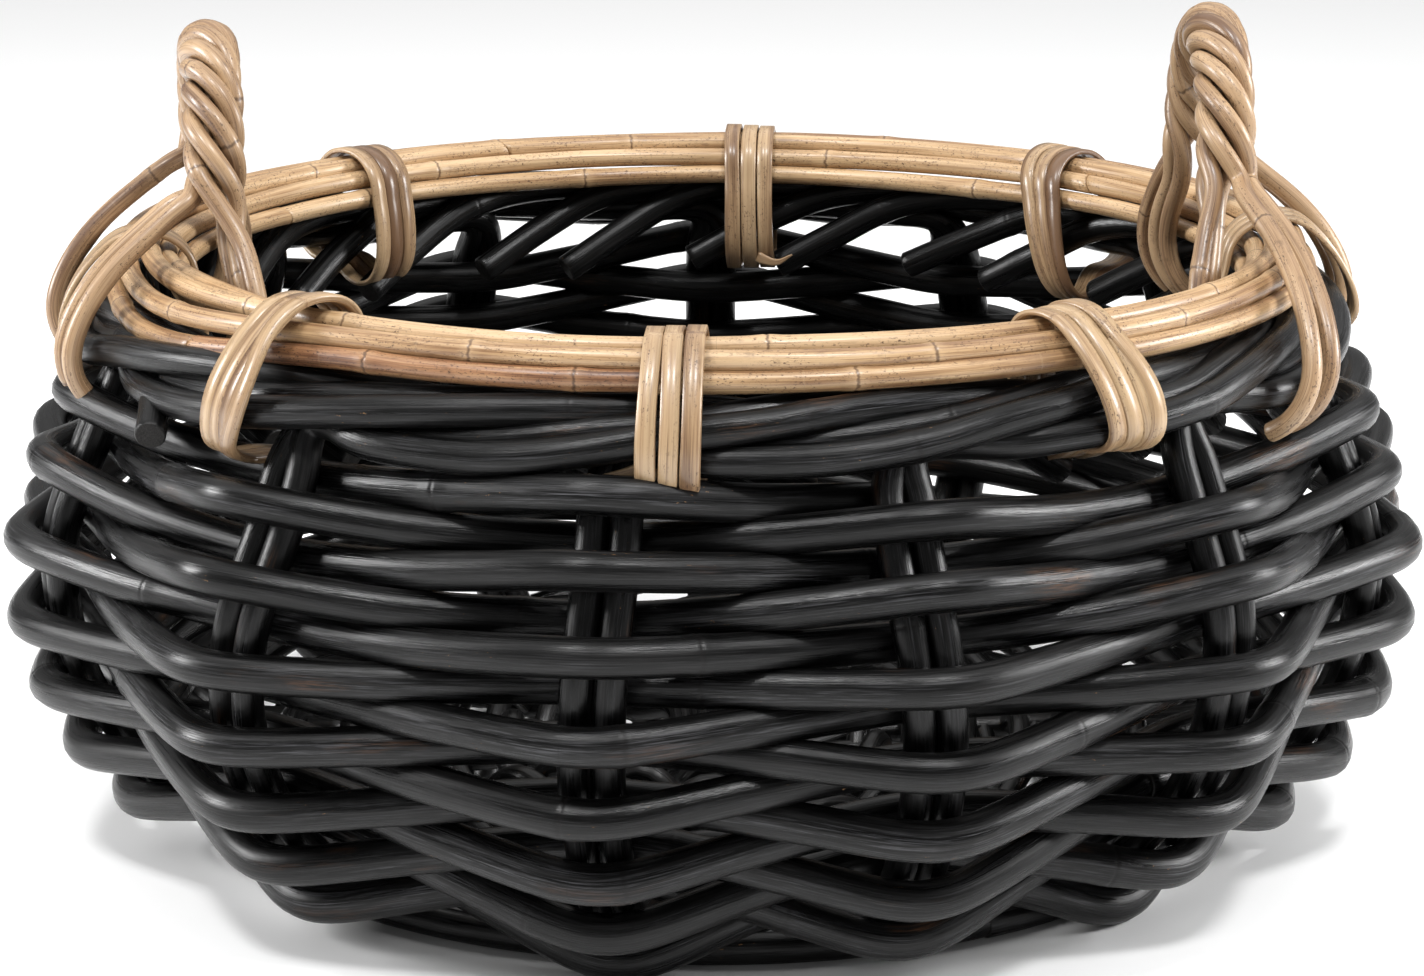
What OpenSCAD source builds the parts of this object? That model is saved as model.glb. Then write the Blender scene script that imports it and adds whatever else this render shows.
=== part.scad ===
// Round log basket of woven black rattan, with a natural cane rim and two rope-twisted handles.
// The vertical axis is +Z, the origin is on the ground in the middle of the base, -Y is the front.

/* [Body] */
// Radius of the circle through the stakes at the belly
belly_r = 281; // [270:1:290]
// Height of the belly, where the basket is widest
belly_z = 126; // [122:1:130]
// Height at which the stakes leave the base
base_z = 19.5; // [19:0.5:21]
// Radius of the bend that turns a stake from the base up into the wall
foot_bend = 36; // [34:1:40]
// Radius of the wall's curve from the foot up to the belly
belly_bend = 125; // [120:1:130]
// Radius of the wall's curve above the belly
shoulder_bend = 72; // [68:1:78]
// Inward lean of the neck, above the shoulder
neck_lean = 23; // [21:1:25]

/* [Weave] */
// Diameter of the lowest weaving rod
low_rod_d = 13.5; // [12.5:0.1:13.5]
// Diameter of the highest weaving rod
top_rod_d = 12.4; // [11.6:0.1:12.4]
// Diameter of a stake
stake_d = 12; // [11:0.5:12]
// Rise of the lowest turn of the weave, measured along the wall
low_pitch = 15.3; // [15.2:0.02:15.4]
// Rise that each further turn loses
pitch_loss = 0.166; // [0.15:0.002:0.17]
// Number of lengths of weaving rod, each a little over one turn long
lengths = 13; // [12:1:13]
// How much lower each turn of the lower weave sits on the left than on the right
left_sag = 1.1; // [0:0.1:1.1]
// How far a weaving rod cuts the corner between two stakes
chord_sag = 4; // [0:0.5:5]

/* [Rim] */
// Diameter of a rim cane
cane_d = 8.5; // [7:0.5:8.5]
// Width of one wrap of split cane
wrap_w = 6.8; // [5:0.2:7]
// Thickness of the split cane
wrap_t = 1.8; // [1:0.1:1.8]
// Diameter of a handle strand
strand_d = 8; // [7:0.2:8]
// Height of the left handle's top
left_top = 340; // [330:1:350]
// Height of the right handle's top
right_top = 343; // [333:1:353]

/* [Base] */
// Diameter of a base stick
stick_d = 11; // [9:1:11]
// Diameter of a base round
round_d = 10; // [8:1:10]
// Diameter of the foot ring
foot_ring_d = 13.2; // [12:0.1:13.2]

/* [Hidden] */
// Angles of the stake pairs round the basket, from the front towards the right
stake_at = [-9, 17, 44, 70, 98, 126, 153, 180, 206, 234, 262, 290, 320];
pairs = len(stake_at);
clearance = 0.3;
beside = (stake_d + clearance) / 2;
sides = 8;

// The wall, as arcs: foot bend, belly, shoulder, then a straight neck
foot_top = acos((belly_z - base_z - foot_bend) / (belly_bend - foot_bend));
foot_r = belly_r - belly_bend + (belly_bend - foot_bend) * sin(foot_top);
u_foot = arc(foot_bend, foot_top);
u_belly = u_foot + arc(belly_bend, 90 - foot_top);
u_neck = u_belly + arc(shoulder_bend, neck_lean);
// The weave starts low on the foot bend, behind the last pair
u_weave = 12.6;
weave_start = pairs - 1;
pairs_each = pairs + 1;
turns = 14;
// The left side sags more from turn to turn, up to here, and is level again at the last turn
sag_turns = 8.5;
sag_middle = 298;
sag_half = 62;
// A stake is bent over above the last turn. From there the border's line is given as the bays
// past its own pair, the rise above the bend and the distance out from the wall
u_border = u_neck + 56.2;
border_line = [
    [0.06, 0.5, 0.3], [0.25, 3, 3.3], [0.5, 1.5, 8.5], [0.75, 2, 11.8], [1, 4.5, 13.2],
    [1.25, 10, 12.5], [1.5, 14.5, 10], [1.75, 18.5, 6.5], [2, 21, 2], [2.25, 22.3, -4],
    [2.5, 21.5, -9], [2.8, 10, -19.5], [3.1, -3, -30]
];
top_u = u_neck + 50;
stake_in = 163;

// Rim canes, as [radius, height, shade], from the outside over the top to the inside
rim_z = 238.5;
rim_canes = [
    ["rim_cane_outer", 247.5, rim_z, "sienna"],
    ["rim_cane_top_outer", 243, rim_z + 7.6, "burlywood"],
    ["rim_cane_top_inner", 234.3, rim_z + 8, "tan"],
    ["rim_cane_inner", 227.5, rim_z + 2.5, "burlywood"],
    ["rim_cane_inner_low", 223.3, rim_z - 5.6, "tan"]
];
rim_top = rim_z + 8 + cane_d / 2;

// Bindings, as name, angle, number of wraps, height of the underside outside and inside, and
// whether the underside tucks in close, where the last turn of the weave ends below it
bindings = [
    ["binding_front", -3.5, 3, 201, 191, 1],
    ["binding_front_right", 34.5, 4, 203, 197, 0],
    ["binding_back_right", 135, 3, 200, 189, 0],
    ["binding_back", 175.5, 3, 205, 190, 0],
    ["binding_back_left", 224, 3, 203, 196, 0],
    ["binding_front_left", 315.5, 3, 205, 192, 0]
];

// Handles, as name, middle angle, height of the top, and degrees from the middle at which the
// outer strands of each foot end
handles = [["left_handle", -81, left_top, -8, 14], ["right_handle", 90, right_top, -33, 9]];
strands = 5;
rope_r = 208;
rope_lay = 8.6;
rope_half = 56;
rope_turns = 2.4;

// Base sticks fan out from a crossing of two flat groups
rays_each = 4;
stick_end = 158;
crossing_r = 34;
fan_r = 62;
rounds = [for (r = [64:11.6:158]) r];
outer_rounds = [172, 184, 196];

$fn = 64;

// ---- Plain geometry ----
function arc(r, a) = r * a * PI / 180;
function swing(r, l) = l / r * 180 / PI;
function unit(v) = v / norm(v);
function mix(a, b, t) = a + (b - a) * t;
// A point at an angle round the basket, a radius and a height
function at(a, r, z) = [r * sin(a), -r * cos(a), z];
// A direction at an angle round the basket, given outwards, along the rim and upwards
function dir(a, out, along, up) = [out * sin(a) + along * cos(a), -out * cos(a) + along * sin(a), up];

// ---- Swept rods ----
function tangents(p) = [for (i = [0:len(p) - 1]) unit(p[min(i + 1, len(p) - 1)] - p[max(i - 1, 0)])];
function square_to(n, t) = unit(n - t * (n * t));
// The side direction is carried along the rod, so the rod has no twist
function carried(t, n0) = [
    for (i = 0, n = square_to(n0, t[0]); i < len(t); i = i + 1, n = i < len(t) ? square_to(n, t[i]) : n) n
];
module rod(path, d_start, d_end, side = [0, 0, 1], n = sides) {
    t = tangents(path);
    a = carried(t, side);
    last = len(path) - 1;
    skin = [
        for (i = [0:last], k = [0:n - 1])
            let (b = cross(t[i], a[i]), q = (k + 0.5) * 360 / n, r = mix(d_start, d_end, i / last) / 2)
            path[i] + r * (a[i] * cos(q) + b * sin(q))
    ];
    quads = [
        for (i = [0:last - 1], k = [0:n - 1])
            let (v = i * n + k, w = i * n + (k + 1) % n) [v, w, v + n, w + n]
    ];
    polyhedron(skin, concat(
        [[for (k = [0:n - 1]) k], [for (k = [n - 1:-1:0]) last * n + k]],
        [for (f = quads) [f[0], f[2], f[1]]],
        [for (f = quads) [f[1], f[2], f[3]]]
    ));
}

// ---- The wall ----
// Height and radius of the wall a distance u up its curve, then its slope from the horizontal
function slope(u) =
    u < 0 ? 0 :
    u < u_foot ? swing(foot_bend, u) :
    u < u_belly ? foot_top + swing(belly_bend, u - u_foot) :
    u < u_neck ? 90 + swing(shoulder_bend, u - u_belly) : 90 + neck_lean;
function wall(u) =
    u < 0 ? [foot_r + u, base_z] :
    u < u_foot ? [foot_r, base_z + foot_bend] + foot_bend * [sin(slope(u)), -cos(slope(u))] :
    u < u_belly ? [belly_r - belly_bend, belly_z] + belly_bend * [sin(slope(u)), -cos(slope(u))] :
    [belly_r - shoulder_bend, belly_z] + shoulder_bend * [sin(slope(u)), -cos(slope(u))]
        + max(u - u_neck, 0) * [cos(slope(u)), sin(slope(u))];
// A point off the wall by a distance out, and along the rim by a distance aside
function on_wall(a, u, out, aside = 0) =
    let (w = wall(u), s = slope(u))
    at(a, w[0] + out * sin(s), w[1] - out * cos(s)) + dir(a, 0, aside, 0);

// ---- Weavers ----
// Angle of any station along the spiral, and of a place part of the way to the next one
function station(s) = stake_at[s % pairs] + 360 * floor(s / pairs);
function angle_at(s) = mix(station(floor(s)), station(floor(s) + 1), s - floor(s));
// Odd stations are passed in front, even ones behind
function side_of(s) = s % 2 == 0 ? -1 : 1;
function turn_at(s) = s / pairs - 1;
function sag_at(s) =
    let (off = (angle_at(s) - sag_middle + 540) % 360 - 180, n = turn_at(s))
    left_sag * max(cos(min(abs(off) / sag_half, 1) * 90), 0)
        * (n < sag_turns ? n : sag_turns * (turns - n) / (turns - sag_turns));
function u_at(s) = let (n = turn_at(s)) u_weave + low_pitch * n - pitch_loss / 2 * n * n - sag_at(s);
function rod_at(s) = mix(low_rod_d, top_rod_d, turn_at(s) / turns);
function astride(s) = side_of(s) * ((stake_d + rod_at(s)) / 2 + clearance);
// At each pair the rod lies flat across both stakes, then it crosses the bay almost straight
function bay(s) =
    let (a = station(s), b = station(s + 1), o = astride(s))
    [
        on_wall(a, u_at(s), o, -beside),
        on_wall(a, u_at(s), o, beside),
        on_wall((a + b) / 2, u_at(s + 0.5), -chord_sag)
    ];
// Each length starts behind a pair, where the one below it ends
module weaver(k) {
    first = weave_start + (k - 1) * pairs_each;
    stop = first + pairs_each + (k == lengths ? 2 : 0);
    end = on_wall(station(stop), u_at(stop), astride(stop), -beside - 1);
    path = concat([for (s = [first:stop - 1], p = bay(s)) p], [end]);
    color("#232324") rod(path, rod_at(first), rod_at(stop));
}

// ---- Stakes ----
// One stake of a pair bends over and is woven into the border: in front of the next pair, up under
// the canes, then down inside the wall to its cut end. The other is cut off under the border
function upright(i, aside, top) = [
    for (u = [stake_in - foot_r, 0, 12, 24, 36, 56, 80, 104, 126, 138, 150, 160, 168, top])
        on_wall(stake_at[i], u, 0, aside)
];
function border(i) = [for (q = border_line) on_wall(angle_at(i + q[0]), u_border + q[1], q[2])];
module stake_pair(i) {
    color("#202021") {
        rod(upright(i, -beside, top_u), stake_d, stake_d, side = dir(stake_at[i], 0, 1, 0));
        rod(
            concat(upright(i, beside, u_border - 12), border(i)), stake_d, stake_d - 0.6,
            side = dir(stake_at[i], 0, 1, 0)
        );
    }
}

// ---- Base ----
module ring(r, z, d) {
    translate([0, 0, z]) rotate_extrude() translate([r, 0]) circle(d = d);
}
module foot_ring() {
    worn = 0.6;
    color("#1d1d1e") translate([0, 0, -worn]) difference() {
        ring(foot_r, foot_ring_d / 2, foot_ring_d);
        cube([2 * belly_r, 2 * belly_r, 2 * worn], center = true);
    }
}
// The sticks lie side by side at the crossing, one group over the other, then fan out as rays
module base_sticks(turn, level) {
    color("#262627") rotate([0, 0, turn]) for (j = [0:rays_each - 1]) {
        beside_axis = (j - (rays_each - 1) / 2) * (stick_d + clearance);
        ray = (j - (rays_each - 1) / 2) * 180 / (2 * rays_each);
        half = [
            [stick_end * cos(ray), stick_end * sin(ray), base_z],
            [fan_r * cos(ray), fan_r * sin(ray), base_z],
            [crossing_r, beside_axis, level]
        ];
        back = [for (k = [2:-1:0]) [-half[k][0], half[k][1], half[k][2]]];
        rod(concat(half, back), stick_d, stick_d);
    }
}
module base_rounds(level) {
    color("#2a2a2b") for (r = concat(rounds, outer_rounds)) ring(r, level, round_d);
}

// ---- Rim ----
module rim_cane(c) {
    color(c[3]) ring(c[1], c[2], cane_d);
}
// Outline of a wrap: over the canes, down outside the border and back up inside its cut ends
function wrap_line(low, low_in, tuck) = [
    [231, rim_top + 0.4], [246, rim_top + 0.2], [252.6, rim_z + 2], [257, rim_z - 4], [268.6, 226],
    [270.6, 217], [269.5 - 6.5 * tuck, low + 3 + 2 * tuck], [262 - 8 * tuck, low], [243, low],
    [232, low_in], [220, low_in], [215.5, low_in + 10], [215.5, 224], [218, rim_z - 6],
    [218.8, rim_z + 2], [224, rim_top - 4]
];
// A closed outline moved outwards by a thickness
function grown(p, t) = [
    for (i = [0:len(p) - 1])
        let (
            v = unit(p[i] - p[(i + len(p) - 1) % len(p)]),
            w = unit(p[(i + 1) % len(p)] - p[i]),
            out = unit([-v[1] - w[1], v[0] + w[0]])
        )
        p[i] + out * t / (out * [-v[1], v[0]])
];
module binding(b) {
    gap = 0.5;
    color("navajowhite") rotate([0, 0, b[1] - 90]) for (k = [0:b[2] - 1]) {
        along = (k - (b[2] - 1) / 2) * (wrap_w + gap);
        translate([0, along + wrap_w / 2, 0]) rotate([90, 0, 0]) linear_extrude(wrap_w) difference() {
            polygon(grown(wrap_line(b[3], b[4], b[5]), wrap_t));
            polygon(wrap_line(b[3], b[4], b[5]));
        }
    }
}

// ---- Handles ----
// The rope's middle line is a half circle standing inside the rim, with the strands laid round it.
// The first and last strands leave the rope outwards over the rim, the others go down inside it.
function is_outer(k) = k == 0 || k == strands - 1;
function rope(h, k, phi) =
    let (
        q = 180 / strands + 360 * (k / strands + rope_turns * phi / 180),
        reach = rope_half + rope_lay * sin(q)
    )
    dir(
        h[1], rope_r + rope_lay * cos(q), -reach * cos(phi),
        h[2] - rope_half - rope_lay - strand_d / 2 + reach * sin(phi)
    );
// From the rope's foot to the strand's tucked end, as [degrees from the handle's middle, radius, height]
function outer_foot(k, lead) =
    let (steep = abs(lead) > 20, near = (k == 0 ? 1 : -1) * (steep ? 1.9 : 1.3))
    [
        for (q = [
            [0.05, 233, rim_top + 7], [0.25, 247, rim_top + 4.4], [0.5, 258.6, rim_z + 5],
            [0.75, 268, rim_z - 5], [0.95, 276, 221], [1, 276, 210]
        ]) [mix(14, lead, pow(q[0], steep ? 0.65 : 1)) + near, q[1], q[2]]
    ];
function inner_foot(k) =
    let (near = 2.7 * ((strands - 1) / 2 - k))
    [[18.5 + near, 213.6, 252], [22 + near, 213.6, 240], [24.5 + near, 213.6, 226], [26 + near, 214, 207]];
function foot(h, k, way) = [
    for (q = is_outer(k) ? outer_foot(k, way < 0 ? -h[3] : h[4]) : inner_foot(k))
        at(h[1] + way * q[0], q[1], q[2])
];
module strand(h, k) {
    // The strands have changed places by the time the rope comes down at its other foot
    moved = (k + round(rope_turns * strands)) % strands;
    start = foot(h, k, -1);
    laid = [for (phi = [3:8.7:177]) rope(h, k, phi)];
    path = concat([for (i = [len(start) - 1:-1:0]) start[i]], laid, foot(h, moved, 1));
    color("#c9a377") rod(path, strand_d, strand_d, side = dir(h[1], 1, 0, 0), n = 6);
}

// ---- The parts, one node each ----
for (k = [1:lengths])
    weaver(k);
for (i = [1:pairs])
    stake_pair(i - 1);
foot_ring();
base_sticks(0, base_z - (stick_d + clearance) / 2);  // base_sticks_lower
base_sticks(90, base_z + (stick_d + clearance) / 2);  // base_sticks_upper
base_rounds(base_z - (stake_d + round_d) / 2 - clearance);  // base_rounds_lower
base_rounds(base_z + (stake_d + round_d) / 2 + clearance);  // base_rounds_upper
for (c = rim_canes)
    rim_cane(c);
for (b = bindings)
    binding(b);
for (h = handles, k = [1:strands])
    strand(h, k - 1);
for (h = handles)
    binding([h[0], h[1], 3, 203, 192, 0]);
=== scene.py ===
"""The looks of a round log basket: black rattan weave, natural cane rim, two rope-twisted handles.

Lengths inside this script are millimetres and become metres as a mesh is made. Angles run round the
basket in degrees, from the front (-Y) towards the right (+X). The wall and weave functions are the
same as in the part's own source, so every rod lies where its CAD node does, only a little fuller and
softer in its bends.
"""

import bpy
import numpy as np
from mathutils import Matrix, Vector


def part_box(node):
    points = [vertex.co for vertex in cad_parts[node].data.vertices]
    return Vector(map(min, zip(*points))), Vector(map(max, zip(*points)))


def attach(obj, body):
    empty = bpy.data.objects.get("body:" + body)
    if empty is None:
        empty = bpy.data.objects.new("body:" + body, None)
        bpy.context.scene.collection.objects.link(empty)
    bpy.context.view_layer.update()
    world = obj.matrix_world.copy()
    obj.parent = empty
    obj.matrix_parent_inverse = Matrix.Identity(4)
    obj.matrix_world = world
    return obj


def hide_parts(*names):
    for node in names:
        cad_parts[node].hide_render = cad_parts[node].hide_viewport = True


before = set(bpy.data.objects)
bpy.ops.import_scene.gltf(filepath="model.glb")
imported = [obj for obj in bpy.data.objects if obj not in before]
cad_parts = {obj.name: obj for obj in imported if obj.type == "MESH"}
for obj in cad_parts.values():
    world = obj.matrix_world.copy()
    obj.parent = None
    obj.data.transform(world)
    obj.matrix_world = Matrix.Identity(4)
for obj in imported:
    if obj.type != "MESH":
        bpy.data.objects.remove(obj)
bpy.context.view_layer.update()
MM = 0.001
SEED = 20
rng = np.random.default_rng(SEED)

# ---- The design's own values ----
BELLY_R, BELLY_Z, BASE_Z = 281.0, 126.0, 19.5
FOOT_BEND, BELLY_BEND, SHOULDER_BEND = 36.0, 125.0, 72.0
NECK_LEAN = np.radians(23)
STAKE_D, LOW_ROD_D, TOP_ROD_D, CLEARANCE = 12.0, 13.5, 12.4, 0.3
STAKE_AT = np.array([-9, 17, 44, 70, 98, 126, 153, 180, 206, 234, 262, 290, 320], float)
PAIRS = len(STAKE_AT)
U_WEAVE, LOW_PITCH, PITCH_LOSS, TURNS = 12.6, 15.3, 0.166, 14
LENGTHS = 13
CHORD_SAG = 4.0
LEFT_SAG, SAG_TURNS, SAG_MIDDLE, SAG_HALF = 1.1, 8.5, 298.0, 62.0
BESIDE = (STAKE_D + CLEARANCE) / 2

FOOT_TOP = np.arccos((BELLY_Z - BASE_Z - FOOT_BEND) / (BELLY_BEND - FOOT_BEND))
FOOT_R = BELLY_R - BELLY_BEND + (BELLY_BEND - FOOT_BEND) * np.sin(FOOT_TOP)
U_FOOT = FOOT_BEND * FOOT_TOP
U_BELLY = U_FOOT + BELLY_BEND * (np.pi / 2 - FOOT_TOP)
U_NECK = U_BELLY + SHOULDER_BEND * NECK_LEAN
NECK_LENGTH = 56.2
U_BORDER = U_NECK + NECK_LENGTH
# The border's two lines, one for each stake of a pair, the second behind and above the first:
# bays past their own pair, rise above the bend, distance out from the wall
FRONT_LINE = np.array([
    [0.03, 5.5, -0.5], [0.14, 6.5, 0.8], [0.3, 2.8, 5], [0.5, 0.5, 9], [0.75, 1.5, 11.8],
    [1, 4.5, 13.4], [1.25, 10, 12.5], [1.5, 14.5, 10], [1.75, 18.5, 6.5], [2, 21, 2], [2.25, 22, -4],
    [2.5, 21, -9], [2.8, 10, -19.5], [3.1, -3, -30]])
REAR_LINE = np.array([
    [0.02, 7.5, -1.5], [0.2, 9.5, -2.5], [0.45, 8, 1], [0.7, 8, 3.5], [1, 11.5, 4.2], [1.25, 16, 3],
    [1.5, 20, 0.5], [1.75, 23, -4], [2, 24, -9], [2.2, 20, -15], [2.45, 8, -24], [2.7, -4, -33]])


# ---- Places ----
def at(angle, r, z):
    a = np.radians(angle)
    return np.stack(np.broadcast_arrays(r * np.sin(a), -r * np.cos(a), z), -1).astype(float)


def heading(angle, out, along, up):
    a = np.radians(angle)
    parts = (out * np.sin(a) + along * np.cos(a), -out * np.cos(a) + along * np.sin(a), up)
    return np.stack(np.broadcast_arrays(*parts), -1).astype(float)


def mix(a, b, t):
    return a + (b - a) * t


def ease(t):
    t = np.clip(t, 0, 1)
    return t * t * (3 - 2 * t)


def slope(u):
    return np.select(
        [u < 0, u < U_FOOT, u < U_BELLY, u < U_NECK],
        [0 * u, u / FOOT_BEND, FOOT_TOP + (u - U_FOOT) / BELLY_BEND,
         np.pi / 2 + (u - U_BELLY) / SHOULDER_BEND],
        np.pi / 2 + NECK_LEAN)


def wall(u):
    """Radius and height of the stakes' middle line, a distance u up the wall."""
    s = slope(u)
    bend = np.select([u < U_FOOT, u < U_BELLY], [FOOT_BEND, BELLY_BEND], SHOULDER_BEND)
    middle_r = np.where(u < U_FOOT, FOOT_R, BELLY_R - bend)
    middle_z = np.where(u < U_FOOT, BASE_Z + FOOT_BEND, BELLY_Z)
    over = np.maximum(u - U_NECK, 0) + np.minimum(u, 0)
    return (middle_r + bend * np.sin(s) + over * np.cos(s),
            middle_z - bend * np.cos(s) + over * np.sin(s))


def on_wall(angle, u, out, aside=0.0):
    angle, u, out, aside = np.broadcast_arrays(*(np.asarray(v, float) for v in (angle, u, out, aside)))
    r, z = wall(u)
    s = slope(u)
    return at(angle, r + out * np.sin(s), z - out * np.cos(s)) + heading(angle, 0, aside, 0)


# ---- The weave's stations ----
def station(s):
    s = np.asarray(s, int)
    return STAKE_AT[s % PAIRS] + 360.0 * (s // PAIRS)


def angle_at(s):
    i = np.floor(s).astype(int)
    return mix(station(i), station(i + 1), s - i)


def side_of(s):
    return np.where(np.asarray(s, int) % 2 == 0, -1.0, 1.0)


def sag_at(s):
    off = (angle_at(s) - SAG_MIDDLE + 540) % 360 - 180
    n = s / PAIRS - 1
    lower = np.where(n < SAG_TURNS, n, SAG_TURNS * (TURNS - n) / (TURNS - SAG_TURNS))
    return LEFT_SAG * np.cos(np.radians(np.minimum(np.abs(off) / SAG_HALF, 1) * 90)) * lower


def u_at(s):
    n = s / PAIRS - 1
    return U_WEAVE + LOW_PITCH * n - PITCH_LOSS / 2 * n * n - sag_at(s)


def rod_at(s):
    return mix(LOW_ROD_D, TOP_ROD_D, (s / PAIRS - 1) / TURNS)


# ---- Curves ----
def wander(x, length, size):
    """A smooth random wave along x, with crests about length apart."""
    total = np.zeros_like(np.asarray(x, float))
    for _ in range(4):
        wave = length * rng.uniform(0.7, 1.8)
        total += rng.uniform(0.5, 1) * np.sin(2 * np.pi * (x / wave + rng.uniform()))
    return size * total / 2


def curve(points, per_span=24):
    """A smooth curve through all the points, as a dense line."""
    p = np.asarray(points, float)
    p = np.vstack([2 * p[0] - p[1], p, 2 * p[-1] - p[-2]])
    t = np.concatenate([[0], np.cumsum(np.linalg.norm(np.diff(p, axis=0), axis=1) ** 0.5)])
    out = []
    for i in range(1, len(p) - 2):
        x = np.linspace(t[i], t[i + 1], per_span, endpoint=False)[:, None]

        def blend(a, b, ta, tb):
            return ((tb - x) * a + (x - ta) * b) / (tb - ta)

        a1 = blend(p[i - 1], p[i], t[i - 1], t[i])
        a2 = blend(p[i], p[i + 1], t[i], t[i + 1])
        a3 = blend(p[i + 1], p[i + 2], t[i + 1], t[i + 2])
        b1 = blend(a1, a2, t[i - 1], t[i + 1])
        b2 = blend(a2, a3, t[i], t[i + 2])
        out.append(blend(b1, b2, t[i], t[i + 1]))
    return np.vstack(out + [p[-2:-1]])


def soften(line, size, step=2.0, closed=False):
    """Rounds the bends of a line over a length of about size; its ends stay."""
    along = lengths_along(line)
    marks = np.linspace(0, along[-1], int(along[-1] / step) + 1)
    even = resample(line, marks)
    reach = int(3 * size / step)
    weights = np.exp(-0.5 * (np.arange(-reach, reach + 1) * step / size) ** 2)
    weights /= weights.sum()
    before = even[-reach - 1:-1] if closed else 2 * even[0] - even[reach:0:-1]
    after = even[1:reach + 1] if closed else 2 * even[-1] - even[-2:-reach - 2:-1]
    padded = np.vstack([before, even, after])
    return np.stack([np.convolve(padded[:, k], weights, "valid") for k in range(3)], -1)


def lengths_along(line):
    return np.concatenate([[0], np.cumsum(np.linalg.norm(np.diff(line, axis=0), axis=1))])


def resample(line, marks):
    along = lengths_along(line)
    return np.stack([np.interp(marks, along, line[:, k]) for k in range(3)], -1)


def unit(v):
    return v / np.maximum(np.linalg.norm(v, axis=-1, keepdims=True), 1e-9)


def carried(tangents, side):
    """The side direction carried along a line without twist."""
    n = np.empty_like(tangents)
    v = np.asarray(side, float)
    for i, t in enumerate(tangents):
        v = v - t * v.dot(t)
        v = v / np.sqrt(v.dot(v))
        n[i] = v
    return n


# ---- Skins: swept surfaces, with what the materials need to know at each point ----
class Skin:
    """Vertices and faces of one piece. "straight" is the place on the rod before it was bent, so a
    grain runs along it. "marks" holds the distance to the nearest node ring, wear with a painted
    highlight, and cut wood."""

    def __init__(self):
        self.verts, self.faces, self.flat = [], [], []
        self.straight, self.marks, self.tint = [], [], []
        self.count = 0

    def add(self, verts, faces, straight, marks, tint, flat=()):
        start = len(self.faces)
        self.verts.append(verts)
        self.faces += [tuple(self.count + v for v in f) for f in faces]
        self.flat += [start + f for f in flat]
        self.straight.append(straight)
        self.marks.append(marks)
        self.tint.append(np.full(len(verts), tint))
        self.count += len(verts)


NODE_REACH = 20.0   # the distance to a node ring is given up to here
NODE_STEPS = np.array([-6, -3.5, -2, -1.2, -0.6, 0, 0.6, 1.2, 2, 3.5, 6])
NODE_CLEAR = 6.5    # even steps keep this far from a node ring
NODE_SWELL, NODE_GROOVE, GROOVE_SHARE = 4.5, 0.7, 0.45
BEVEL, END_SIZE = 0.7, 0.9


def rod_marks(total, step, rings):
    """Places along a rod for its rings: even steps, closer ones round each node, and both bevels."""
    even = np.arange(BEVEL + step, total - BEVEL - step / 2, step)
    near = [m for m in even if all(abs(m - r) > NODE_CLEAR for r in rings)]
    extra = [r + d for r in rings for d in NODE_STEPS if BEVEL + 0.3 < r + d < total - BEVEL - 0.3]
    return np.array(sorted([0, BEVEL, total - BEVEL, total] + near + extra))


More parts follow.
